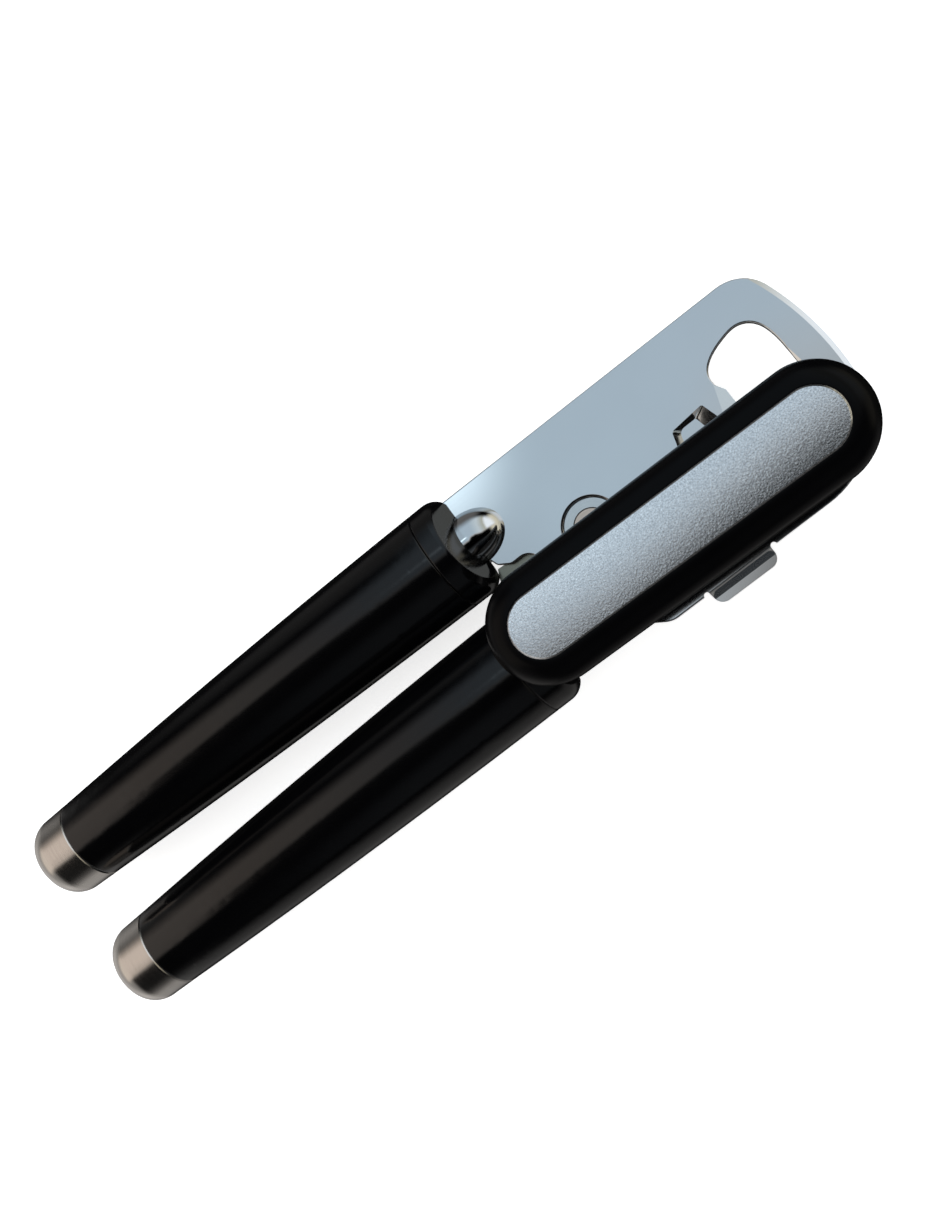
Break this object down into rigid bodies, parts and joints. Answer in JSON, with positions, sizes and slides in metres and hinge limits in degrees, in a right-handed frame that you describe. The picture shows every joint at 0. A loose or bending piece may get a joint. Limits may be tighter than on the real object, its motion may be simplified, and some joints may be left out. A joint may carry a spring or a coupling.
{
  "type": "manual can opener",
  "caption": "Hand-squeezed can opener: crossing plates on round black handles, free cutting wheel over a toothed feed wheel turned by a pill-shaped knob, bottle opener window in the plate.",
  "frame": {"origin": "middle of the closed tool's box in X and Y, at the lowest point of the lower handle", "axes": "+X from the handle ends to the plate tip, +Y towards the upper handle, +Z along the drive shaft towards the knob"},
  "size_m": [0.2118, 0.0563, 0.0395],
  "materials": {
    "chromed_sheet": "polished chrome plate",
    "plated_fittings": "nickel plated",
    "slip_washer": "natural acetal",
    "hardened_steel": "ground",
    "bearing_bronze": "sintered bronze",
    "black_gloss": "gloss moulded",
    "black_matte": "fine moulded texture",
    "cast_insert": "fine grained cast",
    "satin_caps": "satin, brushed round",
    "nylon_core": "moulded"
  },
  "bodies": {
    "upper_half": {"main_plate": "chromed_sheet", "shaft_bush": "bearing_bronze", "upper_grip": "black_gloss", "upper_core": "nylon_core", "upper_tang_pins": "plated_fittings", "upper_collar": "black_gloss", "upper_end_cap": "satin_caps", "upper_cap_plug": "nylon_core"},
    "lower_half": {"cutter_plate": "chromed_sheet", "pivot_bush": "plated_fittings", "pivot_rivet": "plated_fittings", "pivot_washer": "plated_fittings", "plate_washer": "slip_washer", "cutter_axle": "plated_fittings", "cutter_washer": "slip_washer", "lower_grip": "black_gloss", "lower_core": "nylon_core", "lower_tang_pins": "plated_fittings", "lower_collar": "black_gloss", "lower_end_cap": "satin_caps", "lower_cap_plug": "nylon_core"},
    "crank": {"drive_shaft": "plated_fittings", "thrust_washer": "slip_washer", "feed_wheel": "hardened_steel", "feed_washer": "plated_fittings", "feed_nut": "plated_fittings", "knob_body": "black_gloss", "knob_base": "black_matte", "knob_insert": "cast_insert", "knob_screw": "plated_fittings"},
    "cutter": {"cutter_wheel": "hardened_steel"}
  },
  "joints": [
    {"name": "handle_pivot", "type": "hinge", "parent": "upper_half", "child": "lower_half", "pos_m": [0.04472, 0.00152, 0.01425], "axis": [0, 0, 1], "range_deg": [0, 45]},
    {"name": "knob_turn", "type": "hinge", "parent": "upper_half", "child": "crank", "pos_m": [0.05935, -0.01131, 0.01425], "axis": [0, 0, 1], "continuous": true},
    {"name": "cutter_spin", "type": "hinge", "parent": "lower_half", "child": "cutter", "pos_m": [0.05975, 0.0033, 0.01425], "axis": [0, 0, 1], "continuous": true}
  ]
}
